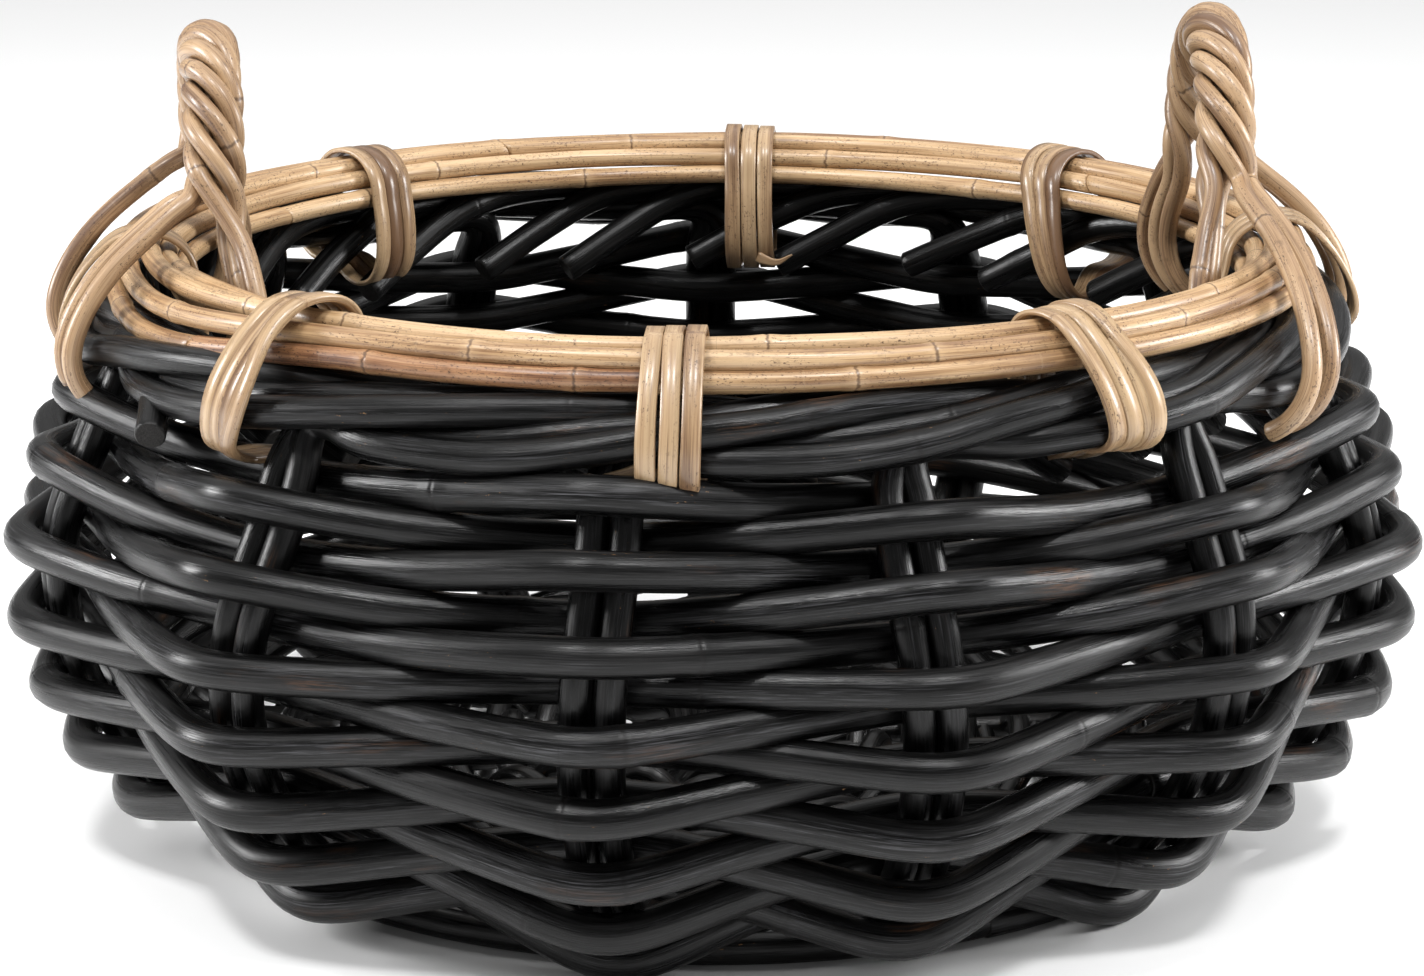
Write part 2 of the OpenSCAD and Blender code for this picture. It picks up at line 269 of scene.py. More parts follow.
def rod(skin, line, d_start, d_end, step=4.0, sides=16, side=(0, 0, 1), rings=(), bulge=0.35,
        rough=0.02, tint=None, wear_and_highlight=None, mitre_start=None, mitre_end=None):
    """A round rod along a line, with node rings, a slightly uneven section and bevelled cut ends."""
    total = lengths_along(line)[-1]
    rings = [r for r in rings if 4 < r < total - 4]
    marks = rod_marks(total, step, rings)
    path = resample(line, marks)
    tangent = unit(np.gradient(path, axis=0))
    a = carried(tangent, side)
    b = np.cross(tangent, a)
    n = len(marks)
    q = (np.arange(sides) + 0.5) * 2 * np.pi / sides
    radius = mix(d_start, d_end, marks / total) / 2
    radius = radius * (1 + wander(marks, 130, rough * 0.7))
    gap = np.full(n, NODE_REACH)
    for r in rings:
        near = marks - r
        radius = radius + bulge * np.exp(-(near / NODE_SWELL) ** 2)
        radius = radius - GROOVE_SHARE * bulge * np.exp(-(near / NODE_GROOVE) ** 2)
        gap = np.where(np.abs(near) < np.abs(gap), near, gap)
    radius[[0, -1]] *= END_SIZE
    oval = 1 + wander(marks, 220, rough)[:, None] * np.cos(2 * q + rng.uniform(0, 6))[None, :]
    three = wander(marks, 90, rough * 0.4)[:, None] * np.cos(3 * q + rng.uniform(0, 6))[None, :]
    oval = oval * (1 + three)
    reach = radius[:, None] * oval
    round_the_line = a[:, None] * np.cos(q)[None, :, None] + b[:, None] * np.sin(q)[None, :, None]
    offset = reach[..., None] * round_the_line
    verts = path[:, None] + offset
    for ends, mitre in (((0, 1), mitre_start), ((n - 1, n - 2), mitre_end)):
        if mitre is not None:
            direction, far = mitre
            for k in ends:
                lean = offset[k] @ np.asarray(direction, float) / radius[k]
                verts[k] += tangent[k] * (far * lean)[:, None]
    shift = rng.uniform(0, 5000)
    mean = radius.mean()
    straight = np.stack(np.broadcast_arrays(
        mean * np.cos(q)[None, :], mean * np.sin(q)[None, :], marks[:, None] + shift), -1)
    data = np.zeros((n, sides, 3))
    data[..., 0] = gap[:, None]
    # The second mark is wear together with a painted highlight on the rod's outward, slightly upward
    # side.
    if wear_and_highlight is not None:
        data[..., 1] = wear_and_highlight(path, offset)
    data[[0, -1], :, 2] = 1
    ring = np.arange(sides)
    faces = []
    for i in range(n - 1):
        here, there = i * sides, (i + 1) * sides
        faces += [(here + k, here + (k + 1) % sides, there + (k + 1) % sides, there + k) for k in ring]
    caps = np.stack([verts[0].mean(0), verts[-1].mean(0)])
    first, last = n * sides, n * sides + 1
    cap_from = len(faces)
    faces += [(first, (k + 1) % sides, k) for k in ring]
    faces += [(last, (n - 1) * sides + k, (n - 1) * sides + (k + 1) % sides) for k in ring]
    cap_data = np.array([[NODE_REACH, 0, 1], [NODE_REACH, 0, 1]], float)
    cap_straight = np.array([[0, 0, marks[0] + shift], [0, 0, marks[-1] + shift]])
    skin.add(np.vstack([verts.reshape(-1, 3), caps]), faces,
             np.vstack([straight.reshape(-1, 3), cap_straight]),
             np.vstack([data.reshape(-1, 3), cap_data]),
             rng.uniform(-1, 1) if tint is None else tint,
             flat=range(cap_from, len(faces)))


def spaced(total, first, gap):
    """Places of node rings along a length, unevenly spaced."""
    out, x = [], first
    while x < total:
        out.append(x)
        x += gap * rng.uniform(0.75, 1.3)
    return out


def strip(skin, line, width, thick, side, closed=True, step=2.5, tint=None, taper=0.0):
    """A flat split cane along a line: crowned outside with two shallow ridges, flat underneath."""
    across = np.linspace(-1, 1, 13)
    crown = 1 - 0.55 * across ** 4 - 0.1 * np.exp(-((np.abs(across) - 0.36) / 0.07) ** 2)
    outline = np.vstack([np.stack([across * width / 2, crown * thick / 2], 1),
                         [[width * 0.44, -thick / 2], [0, -thick / 2], [-width * 0.44, -thick / 2]]])
    total = lengths_along(line)[-1]
    count = max(int(total / step), 4)
    marks = np.linspace(0, total, count + 1)
    path = resample(line, marks)
    if closed:
        path = path[:-1]
        tangent = unit(np.roll(path, -1, 0) - np.roll(path, 1, 0))
    else:
        tangent = unit(np.gradient(path, axis=0))
    n, m = len(path), len(outline)
    a = unit(np.asarray(side, float) - tangent * (tangent @ np.asarray(side, float))[:, None])
    b = np.cross(tangent, a)
    wide = 1 + wander(marks[:n], 60, 0.03)
    if taper and not closed:
        wide = wide * np.clip((total - marks[:n]) / taper + 0.12, 0, 1)
    across_line = wide[:, None, None] * (a[:, None] * outline[None, :, :1])
    verts = path[:, None] + across_line + b[:, None] * outline[None, :, 1:]
    shift = rng.uniform(0, 5000)
    straight = np.stack(np.broadcast_arrays(
        outline[None, :, 0], outline[None, :, 1], marks[:n, None] + shift), -1)
    data = np.zeros((n, m, 3))
    data[..., 0] = NODE_REACH
    faces = []
    for i in range(n if closed else n - 1):
        here, there = i * m, (i + 1) % n * m
        faces += [(here + k, there + k, there + (k + 1) % m, here + (k + 1) % m) for k in range(m)]
    if not closed:
        faces += [tuple(range(m)), tuple((n - 1) * m + k for k in reversed(range(m)))]
    skin.add(verts.reshape(-1, 3), faces, straight.reshape(-1, 3), data.reshape(-1, 3),
             rng.uniform(-1, 1) if tint is None else tint)


def piece(name, skin, material, slot, *nodes):
    """Makes one object of a skin, which stands for CAD nodes."""
    mesh = bpy.data.meshes.new(name)
    mesh.from_pydata((np.vstack(skin.verts) * MM).tolist(), [], skin.faces)
    smooth = np.ones(len(skin.faces), bool)
    smooth[skin.flat] = False
    mesh.polygons.foreach_set("use_smooth", smooth)
    for label, kind, values in (("straight", "FLOAT_VECTOR", np.vstack(skin.straight) * MM),
                                ("marks", "FLOAT_VECTOR", np.vstack(skin.marks))):
        layer = mesh.attributes.new(label, kind, "POINT")
        layer.data.foreach_set("vector", values.astype(np.float32).ravel())
    mesh.attributes.new("tint", "FLOAT", "POINT").data.foreach_set(
        "value", np.concatenate(skin.tint).astype(np.float32))
    mesh.materials.append(material)
    mesh.validate()
    mesh.update()
    made = bpy.data.objects.new(name, mesh)
    bpy.context.scene.collection.objects.link(made)
    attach(made, "root")
    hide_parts(*nodes)
    return made


# ---- Materials ----
class Look:
    """A small helper that adds shader nodes and links them."""

    def __init__(self, name):
        self.material = bpy.data.materials.new(name)
        self.material.use_nodes = True
        self.tree = self.material.node_tree
        self.shader = self.tree.nodes["Principled BSDF"]

    def put(self, socket, value):
        if isinstance(value, bpy.types.NodeSocket):
            self.tree.links.new(value, socket)
        elif value is not None:
            socket.default_value = value

    def node(self, kind, out=0, ins=(), **props):
        made = self.tree.nodes.new(kind)
        for key, value in props.items():
            setattr(made, key, value)
        for key, value in dict(ins).items():
            self.put(made.inputs[key], value)
        return made.outputs[out]

    def attribute(self, name, out=1):
        return self.node("ShaderNodeAttribute", out, attribute_name=name)

    def math(self, kind, a, b=None, clamp=False):
        return self.node("ShaderNodeMath", ins={0: a, 1: b}, operation=kind, use_clamp=clamp)

    def stretched(self, across, along):
        """The straight rod's own space, scaled so that a noise cell has that size in mm."""
        scale = (1000 / across, 1000 / across, 1000 / along)
        return self.node("ShaderNodeVectorMath", ins={0: self.attribute("straight"), 1: scale},
                         operation="MULTIPLY")

    def noise(self, across, along, detail=3.0, rough=0.55):
        return self.node("ShaderNodeTexNoise",
                         ins={"Vector": self.stretched(across, along), "Scale": 1.0,
                              "Detail": detail, "Roughness": rough})

    def ramp(self, value, low, high, start=0.0, end=1.0):
        """A value moved from low..high to start..end, held beyond both."""
        return self.node("ShaderNodeMapRange", ins={"Value": value, "From Min": low, "From Max": high,
                                                    "To Min": start, "To Max": end})

    def colour(self, value, *stops):
        made = self.tree.nodes.new("ShaderNodeValToRGB")
        steps = made.color_ramp.elements
        while len(steps) < len(stops):
            steps.new(0.5)
        for step, (place, rgb) in zip(steps, stops):
            step.position = place
            step.color = (*rgb, 1)
        self.put(made.inputs[0], value)
        return made.outputs[0]

    def blend(self, share, a, b, kind="MIX"):
        made = self.tree.nodes.new("ShaderNodeMix")
        made.data_type, made.blend_type = "RGBA", kind
        self.put(made.inputs[0], share)
        self.put(made.inputs[6], a)
        self.put(made.inputs[7], b)
        return made.outputs[2]

    def part(self, which):
        """One value of the marks: 0 distance to a node ring, 1 wear and painted highlight, 2 cut wood.
        """
        made = self.tree.nodes.new("ShaderNodeSeparateXYZ")
        self.put(made.inputs[0], self.attribute("marks"))
        return made.outputs[which]

    def bump(self, height, strength, distance):
        return self.node("ShaderNodeBump", ins={"Height": height, "Strength": strength,
                                                "Distance": distance * MM})


def rgb(r, g, b):
    """A colour given as it looks on screen, 0 to 255."""
    shares = (r / 255, g / 255, b / 255)
    return tuple(c / 12.92 if c <= 0.04045 else ((c + 0.055) / 1.055) ** 2.4 for c in shares)


def black_look(name, shade=1.0):
    """Black-stained rattan: fine lengthwise fibres, grey streaks of wear and painted highlight, a few
    brown scuffs.
    """
    k = Look(name)
    fibre = k.noise(0.55, 30, 4, 0.6)
    streak = k.noise(2.6, 90, 3, 0.5)
    patch = k.noise(14, 60, 2, 0.5)
    body = k.colour(k.math("ADD", k.math("MULTIPLY", fibre, 0.55), k.math("MULTIPLY", streak, 0.45)),
                    (0.34, rgb(3 * shade, 3 * shade, 3 * shade)),
                    (0.52, rgb(9 * shade, 9 * shade, 9 * shade)),
                    (0.70, rgb(38 * shade, 37 * shade, 37 * shade)))
    # Painted highlight, partly wear: the outward, slightly upward sides of the rods turn grey in
    # streaky patches.
    rubbed_and_highlight = k.math("MULTIPLY", k.ramp(k.part(1), 0.5, 1.0),
                    k.ramp(k.noise(0.6, 22, 4, 0.65), 0.5, 0.7), True)
    highlight_and_wear_patches = k.ramp(k.noise(20, 150, 2, 0.5), 0.42, 0.62, 0.15, 0.7)
    body = k.blend(k.math("MULTIPLY", rubbed_and_highlight, highlight_and_wear_patches), body, (*rgb(92, 92, 95), 1))
    scuff = k.math("MULTIPLY", k.ramp(patch, 0.66, 0.78),
                   k.ramp(k.noise(0.9, 14, 3, 0.7), 0.45, 0.62), True)
    body = k.blend(k.math("MULTIPLY", scuff, 0.75), body, (*rgb(84, 58, 40), 1))
    chip = k.math("MULTIPLY", k.ramp(k.noise(1.1, 3.5, 3, 0.7), 0.68, 0.72),
                  k.ramp(k.noise(18, 40, 2), 0.6, 0.66), True)
    body = k.blend(chip, body, (*rgb(142, 108, 74), 1))
    ring = k.ramp(k.math("ABSOLUTE", k.part(0)), 0.3, 1.6, 1.0, 0.0)
    body = k.blend(k.math("MULTIPLY", ring, 0.6), body, (*rgb(14, 12, 12), 1))
    cut = k.colour(k.noise(0.7, 0.7, 2), (0.35, rgb(20, 19, 19)), (0.7, rgb(52, 50, 48)))
    body = k.blend(k.part(2), body, cut)
    k.put(k.shader.inputs["Base Color"], body)
    gloss = k.math("ADD", k.ramp(streak, 0.3, 0.7, 0.13, 0.33), k.math("MULTIPLY", fibre, 0.14))
    k.put(k.shader.inputs["Roughness"], k.math("ADD", gloss, k.math("MULTIPLY", k.part(2), 0.3), True))
    height = k.math("ADD", k.math("MULTIPLY", fibre, 0.6), k.math("MULTIPLY", streak, 0.9))
    k.put(k.shader.inputs["Normal"], k.bump(height, 0.7, 0.34))
    k.shader.inputs["Specular IOR Level"].default_value = 0.25
    return k.material


def cane_look(name, light, mid, dark, spot, gloss=0.32, spots=0.62, coat=0.35):
    """Natural cane: fine lengthwise streaks, brown specks and mottles, dark node rings, pale pith."""
    k = Look(name)
    fibre = k.noise(0.4, 28, 4, 0.6)
    streak = k.noise(2.0, 70, 3, 0.55)
    broad = k.noise(9, 110, 2, 0.5)
    tone = k.math("ADD", k.math("MULTIPLY", fibre, 0.30), k.math("MULTIPLY", streak, 0.34))
    tone = k.math("ADD", tone, k.math("MULTIPLY", broad, 0.36))
    tone = k.math("ADD", tone, k.math("MULTIPLY", k.attribute("tint", 2), 0.045))
    body = k.colour(tone, (0.38, dark), (0.48, mid), (0.58, light))
    speck = k.math("MULTIPLY", k.ramp(k.noise(0.8, 1.5, 3, 0.7), 0.57, 0.63),
                   k.ramp(k.noise(5, 22, 2, 0.5), spots - 0.08, spots + 0.06), True)
    body = k.blend(k.math("MULTIPLY", speck, 0.85), body, (*spot, 1))
    mottle = k.math("MULTIPLY", k.ramp(k.noise(3.2, 9, 4, 0.7), 0.56, 0.7),
                    k.ramp(k.noise(16, 60, 2, 0.5), spots - 0.06, spots + 0.06), True)
    body = k.blend(k.math("MULTIPLY", mottle, 0.42), body, (*spot, 1))
    crease = k.math("MULTIPLY", k.ramp(k.noise(0.45, 45, 2, 0.5), 0.60, 0.68), 0.7)
    body = k.blend(crease, body, (*dark, 1))
    near = k.math("ABSOLUTE", k.math("ADD", k.part(0), k.ramp(k.noise(1.6, 5, 2), 0.3, 0.7, -0.5, 0.5)))
    ring = k.ramp(near, 0.25, 0.9, 1.0, 0.0)
    halo = k.ramp(near, 0.8, 5.0, 0.30, 0.0)
    body = k.blend(halo, body, (*light, 1))
    body = k.blend(k.math("MULTIPLY", ring, 0.7), body, (*spot, 1))
    pith = k.colour(k.noise(0.6, 0.6, 2), (0.35, rgb(120, 88, 58)), (0.7, rgb(205, 172, 128)))
    body = k.blend(k.part(2), body, pith)
    k.put(k.shader.inputs["Base Color"], body)
    rough = k.ramp(k.math("ADD", fibre, k.math("MULTIPLY", speck, 0.5)), 0.3, 0.9, gloss, gloss + 0.22)
    k.put(k.shader.inputs["Roughness"], rough)
    height = k.math("ADD", k.math("MULTIPLY", fibre, 0.5), k.math("MULTIPLY", streak, 0.7))
    k.put(k.shader.inputs["Normal"], k.bump(height, 0.45, 0.2))
    k.shader.inputs["Coat Weight"].default_value = coat
    k.shader.inputs["Coat Roughness"].default_value = 0.2
    return k.material


black = black_look("black_rattan_look")
base_black = black_look("base_rattan_look", 1.1)
rim = cane_look("rim_cane_look", rgb(201, 171, 133), rgb(176, 143, 104), rgb(126, 93, 63),
                rgb(66, 40, 24), spots=0.48, coat=0.15)
brown = cane_look("brown_cane_look", rgb(174, 136, 99), rgb(142, 101, 69), rgb(86, 53, 34),
                  rgb(48, 26, 14), spots=0.40, coat=0.15)
split = cane_look("split_cane_look", rgb(178, 151, 117), rgb(156, 127, 95), rgb(106, 79, 56),
                  rgb(66, 41, 25), gloss=0.26, spots=0.54, coat=0.25)
handle = cane_look("handle_cane_look", rgb(178, 148, 114), rgb(151, 121, 90), rgb(102, 75, 54),
                   rgb(60, 37, 24), spots=0.52, coat=0.2)


# ---- Weave ----
WEAVE_START = PAIRS - 1
PAIRS_EACH = PAIRS + 1
SOFTENED = 2.2   # put back where rounding the bends draws a rod towards the stakes
FULLER = 2.4     # the real rods press into each other, where the CAD rods keep clear
WEAVER_SOFTEN = 9
SETTLE_SHARE = 0.8
SETTLE_WAVES = [(rng.uniform(0.6, 1.0), rng.integers(1, 5), rng.uniform(90, 170), rng.uniform(0, 6))
                for _ in range(5)]


def settled(angle, u):
    """How far the whole weave has slipped up or down at a place, shared by neighbouring rods."""
    total = 0
    for size, waves, length, phase in SETTLE_WAVES:
        total = total + size * np.sin(np.radians(angle) * waves + u / length * 2 * np.pi + phase)
    return SETTLE_SHARE * total * np.clip(u / 40, 0, 1) * np.clip((U_BORDER - u) / 30, 0, 1)


def outward_wear_and_highlight(path, offset):
    """Wear and a painted highlight on the side of a rod that faces away from the basket and a little
    up, most where it stands out.
    """
    radial = unit(path * [1, 1, 0])
    out = unit(offset) @ np.array([0, 0, 0.25])
    out = out + np.einsum("nmk,nk->nm", unit(offset), radial)
    return np.clip(out, 0, 1)


def weaver(k):
    """One length of the weave. It passes both stakes of a pair, then sags in the middle of the bay."""
    first = WEAVE_START + (k - 1) * PAIRS_EACH
    stop = first + PAIRS_EACH + (2 if k == LENGTHS else 0)
    points = []
    for s in range(first, stop + 1):
        astride = side_of(s) * ((STAKE_D + rod_at(s)) / 2 + CLEARANCE)
        lift = rng.uniform(-0.5, 0.5)
        u = u_at(s) + lift + settled(station(s), u_at(s))
        out = astride + side_of(s) * (SOFTENED + rng.uniform(0, 1.0))
        if s == stop:
            points.append(on_wall(station(s), u, out, -BESIDE - 1))
            break
        points.append(on_wall(station(s), u, out, -BESIDE))
        points.append(on_wall(station(s), u, out, BESIDE))
        half = u_at(s + 0.5)
        middle = angle_at(s + 0.5)
        half = half + rng.uniform(-0.4, 0.4) + settled(middle, half)
        points.append(on_wall(middle, half, -CHORD_SAG))
    line = soften(curve(points), WEAVER_SOFTEN)
    skin = Skin()
    rings = spaced(lengths_along(line)[-1], rng.uniform(60, 260), 330)
    rod(skin, line, rod_at(first) + FULLER, rod_at(stop) + FULLER, rings=rings, bulge=0.45,
        wear_and_highlight=outward_wear_and_highlight)
    piece(f"weaver_{k}_rod", skin, black, "black_rattan", f"weaver_{k}")


# How far the tops of a few pairs lean along the wall
LEAN = {0: 4, 1: -7, 12: 13}
# How far a few border rods hang between their own pair and the next
LOWER = {1: -2.5, 12: 2}
STUB_PAIR = 11   # the pair beside which a short cut end sticks out under the border
STUB_LINE = [(-59, 250, 214), (-56, 259, 209), (-53.2, 267, 203.5), (-51.2, 274, 198.5)]
STAKE_START = 163      # radius at which the stakes start, among the base rods
STAKE_SOFTEN = 5
LEAN_FROM, LEAN_OVER = 95, 110


def stake_pair(i):
    """Two rods that rise from the base side by side, bend to the right and run on in the border."""
    skin = Skin()
    base = STAKE_AT[i]
    side = heading(base, 0, 1, 0)
    u = np.concatenate([np.arange(STAKE_START - FOOT_R, 0, 8), np.arange(0, U_BORDER - 12, 3.5)])
    lean = LEAN.get(i, 0)
    sway = wander(u, 180, 0.7) * np.clip(u / 30, 0, 1) + lean * ease((u - LEAN_FROM) / LEAN_OVER)
    for beside, line in ((BESIDE, FRONT_LINE), (-BESIDE, REAR_LINE)):
        bays, rise, out = line.T
        jitter = rng.uniform(-0.8, 0.8, len(bays))
        start = lean * np.clip(1 - bays * 3, 0, 1)
        low = LOWER.get(i, 0) * np.exp(-((bays - 0.6) / 0.25) ** 2)
        over = on_wall(angle_at(i + bays), U_BORDER + rise + jitter - low, out, start)
        bent = np.vstack([on_wall(base, u, 0, beside + sway), over])
        rod(skin, soften(curve(bent, 8), STAKE_SOFTEN), STAKE_D + 0.4, STAKE_D + 0.9, side=side,
            rings=spaced(900, rng.uniform(200, 420), 300), wear_and_highlight=outward_wear_and_highlight)
    if i == STUB_PAIR:
        end = curve([at(*place) for place in STUB_LINE])
        rod(skin, end, STAKE_D, STAKE_D, step=2, side=(0, 0, 1), tint=0.2)
    piece(f"stake_pair_{i + 1}_rods", skin, black, "black_rattan", f"stake_pair_{i + 1}")


# ---- Base ----
FOOT_FULLER = 0.6
FOOT_FROM, FOOT_TO, FOOT_LAP = 30, 392, 8


def foot_ring():
    """The rod the basket stands on, with its end lapped over its start and a flat underneath where it
    wore down.
    """
    low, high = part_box("foot_ring")
    d = (high.z - low.z) / MM + FOOT_FULLER
    r = high.x / MM - d / 2
    skin = Skin()
    angle = np.linspace(FOOT_FROM, FOOT_TO, 260)
    z = d / 2 - FOOT_FULLER + np.clip((angle - FOOT_TO + FOOT_LAP) / FOOT_LAP, 0, 1) * 0.4
    rod(skin, at(angle, r + wander(angle, 80, 0.3), z), d - 0.4, d - 0.8, rings=spaced(1300, 150, 300),
        tint=0.3, wear_and_highlight=outward_wear_and_highlight)
    verts = skin.verts[0]
    verts[:, 2] = np.maximum(verts[:, 2], low.z / MM)
    piece("foot_ring_rod", skin, base_black, "base_rattan", "foot_ring")


STICK_D, ROUND_D, RAYS_EACH = 11.0, 10.0, 4
RAY_RADII = (158, 110, 62)   # from its end in to where the sticks draw together
CROSS_HALF = 34              # half the length over which the two groups of sticks cross
ROUND_RADII = [64 + 11.6 * k for k in range(9)] + [172, 184, 196]


def base_sticks(name, turn, level):
    """A group of sticks side by side in the middle, which fan out as rays."""
    skin = Skin()
    for j in range(RAYS_EACH):
        place = j - (RAYS_EACH - 1) / 2
        beside_axis = place * (STICK_D + CLEARANCE)
        ray = np.radians(place * 180 / (2 * RAYS_EACH))
        half = [[r * np.cos(ray), r * np.sin(ray), BASE_Z] for r in RAY_RADII]
        half.append([CROSS_HALF, beside_axis, level])
        points = np.array(half + [[-x, y, z] for x, y, z in reversed(half)])
        c, s = np.cos(np.radians(turn)), np.sin(np.radians(turn))
        points[:, :2] = points[:, :2] @ np.array([[c, s], [-s, c]])
        rod(skin, curve(points), STICK_D, STICK_D, rings=spaced(300, rng.uniform(40, 120), 180))
    piece(f"{name}_rods", skin, base_black, "base_rattan", name)


def base_rounds(name, phase):
    """Every other ring of the base, woven over one ray and under the next."""
    skin = Skin()
    for k, r in enumerate(ROUND_RADII):
        if k % 2 != phase:
            continue
        angle = np.linspace(0, 360, 161) + 137 * k
        rise = (STICK_D + ROUND_D) / 2 + CLEARANCE
        z = BASE_Z + rise * np.sin(np.radians(8 * (angle + 11.25)) + np.pi * phase)
        rod(skin, at(angle, r + wander(angle, 90, 0.25), z), ROUND_D, ROUND_D - 0.3, step=5, sides=12,
            rings=spaced(1200, rng.uniform(20, 300), 320))
    piece(f"{name}_rods", skin, base_black, "base_rattan", name)


# ---- Rim ----
def cane_centre(node):
    low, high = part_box(node)
    d = (high.z - low.z) / MM
    return high.x / MM - d / 2, (high.z + low.z) / 2 / MM, d


def periodic(angle, stops):
    """Offsets that ease from one named angle to the next all the way round."""
    places = np.array([s[0] for s in stops], float)
    values = np.array([s[1:] for s in stops], float)
    places = np.concatenate([[places[-1] - 360], places, [places[0] + 360]])
    values = np.vstack([values[-1:], values, values[:1]])
    a = (np.asarray(angle) - places[1]) % 360 + places[1]
    i = np.clip(np.searchsorted(places, a, "right") - 1, 0, len(places) - 2)
    t = ease((a - places[i]) / (places[i + 1] - places[i]))[:, None]
    return mix(values[i], values[i + 1], t)


def rim_cane(node, start, end, moves, look, slot, rings_at, part=""):
    """One cane of the rim between two angles, its ends cut on the slant."""
    r, z, d = cane_centre(node)
    skin = Skin()
    angle = np.linspace(start, end, int((end - start) * 1.1))
    off = periodic(angle, moves)
    line = at(angle, r + off[:, 0] + wander(angle, 50, 0.35), z + off[:, 1] + wander(angle, 50, 0.35))
    rings = [np.radians((a - start) % 360) * r for a in rings_at]
    rod(skin, line, d, d, step=3.5, sides=16, rings=rings, bulge=0.45,
        mitre_start=(heading(start, 0.4, 0, 1), 2.0), mitre_end=(heading(end, 0.4, 0, 1), 2.0))
    piece(f"{node}{part}_rod", skin, look, slot, node)


# ---- Bindings ----
RIM_Z, RIM_ARCH, CANE_D = 238.5, 8, 8.5
RIM_TOP = RIM_Z + RIM_ARCH + CANE_D / 2


def wrap_line(low, low_in, grow):
    """Radii and heights of one loop round the rim and the border, moved outwards by grow."""
    p = np.array([
        [231, RIM_TOP + 0.4], [245, RIM_TOP + 0.3], [255, RIM_Z + 5], [263, RIM_Z - 5], [268.3, 223],
        [270, 213], [268, low + 4], [260, low], [246, low - 1], [232, low_in], [222, low_in + 1],
        [215.5, low_in + 10], [215.5, 224], [217.5, RIM_Z - 6], [218.8, RIM_Z + 2], [223, RIM_TOP - 4]])
    v = unit(p - np.roll(p, 1, 0))
    w = unit(np.roll(p, -1, 0) - p)
    out = unit(np.stack([-(v + w)[:, 1], (v + w)[:, 0]], 1))
    return p + out * grow


WRAP_W, WRAP_T, WRAP_STEP = 7.5, 2.5, 7.8
TAIL_T, TAIL_TAPER = 1.6, 26
DARK_TINT = -4.5


def binding(node, angle, wraps, low, low_in, lean=(0, 0), spread=(1, 1), loose=0, grow=0,
            tail=(), dark=None):
    """Wraps of split cane round the rim and the border. Lean moves the top and the bottom along,
    spread scales their spacing there, a loose wrap stands off to the side half way down, a tail is
    the strip's free end, and dark is the number of a wrap with a darker tint."""
    skin = Skin()
    for k in range(wraps + (1 if loose else 0)):
        extra = k == wraps
        loop = wrap_line(low, low_in, WRAP_T / 2 + grow + (1.6 if extra else 0.35 * k))
        beside = (min(k, wraps - 1) - (wraps - 1) / 2) * WRAP_STEP
        height = (loop[:, 1] - low) / (RIM_TOP - low)
        along = mix(beside * spread[1] + lean[1], beside * spread[0] + lean[0], height)
        along = along + rng.uniform(-0.4, 0.4) * np.sin(height * 4)
        if extra:
            along = along + loose * np.sin(np.pi * np.clip(height * 1.1, 0, 1)) * (loop[:, 0] > 240)
        flat = at(angle, loop[:, 0], loop[:, 1]) + heading(angle, 0, along, 0)
        line = curve(np.vstack([flat, flat[:3]]), 8)[8:-8]
        line = soften(np.vstack([line, line[:1]]), 3, 1.5, closed=True)
        strip(skin, line, WRAP_W, WRAP_T, heading(angle, 0, -1, 0),
              tint=DARK_TINT if k == dark else None)
    if tail:
        line = curve([at(deg, r, z) for deg, r, z in tail], 12)
        strip(skin, line, WRAP_W - 0.5, TAIL_T, (0, 0, 1), closed=False, step=1.5, taper=TAIL_TAPER)
    piece(f"{node}_strips", skin, split, "split_cane", node)


# ---- Handles ----
STRANDS, STRAND_D = 5, 8.0
ROPE_R, ROPE_LAY, ROPE_HALF, ROPE_TURNS = 208.0, 9.2, 56.0, 2.4
STRAND_SOFTEN = 6
STEEP_LEAD = 20   # beyond this many degrees, a foot splays out early and its strands lie further apart


def rope(middle, top, k, phi):
    """A point of strand k on the rope's arch, phi degrees along it."""
    q = np.radians(180 / STRANDS + 360 * (k / STRANDS + ROPE_TURNS * phi / 180))
    reach = ROPE_HALF + ROPE_LAY * np.sin(q)
    p = np.radians(phi)
    return heading(middle, ROPE_R + ROPE_LAY * np.cos(q), -reach * np.cos(p),
                   top - ROPE_HALF - ROPE_LAY - STRAND_D / 2 + 1.0 + reach * np.sin(p))


def foot(middle, k, way, lead):
    """A strand's way down from the arch: the outer two pass outside the rim, the others inside."""
    if k in (0, STRANDS - 1):
        steep = lead > STEEP_LEAD
        near = (1 if k == 0 else -1) * (1.9 if steep else 1.3)
        steps = [[0.08, 225, 276], [0.3, 243, 263], [0.58, 260, 248.5], [0.8, 272, 232],
                 [0.93, 277.5, 216], [1, 275, 205], [1.03, 269, 197.5], [1.03, 263, 195]]
        places = [[mix(14, lead, q ** (0.65 if steep else 1)) + near, r, z] for q, r, z in steps]
    else:
        near = 2.7 * ((STRANDS - 1) / 2 - k)
        places = [[17.5 + near, 211.5, 260], [20.5 + near, 212.5, 247], [22.5 + near, 213.5, 234],
                  [23 + near, 215.5, 221], [22 + near, 221, 208], [20.5 + near, 231, 200]]
    return np.array([at(middle + way * deg, r, z) for deg, r, z in places])


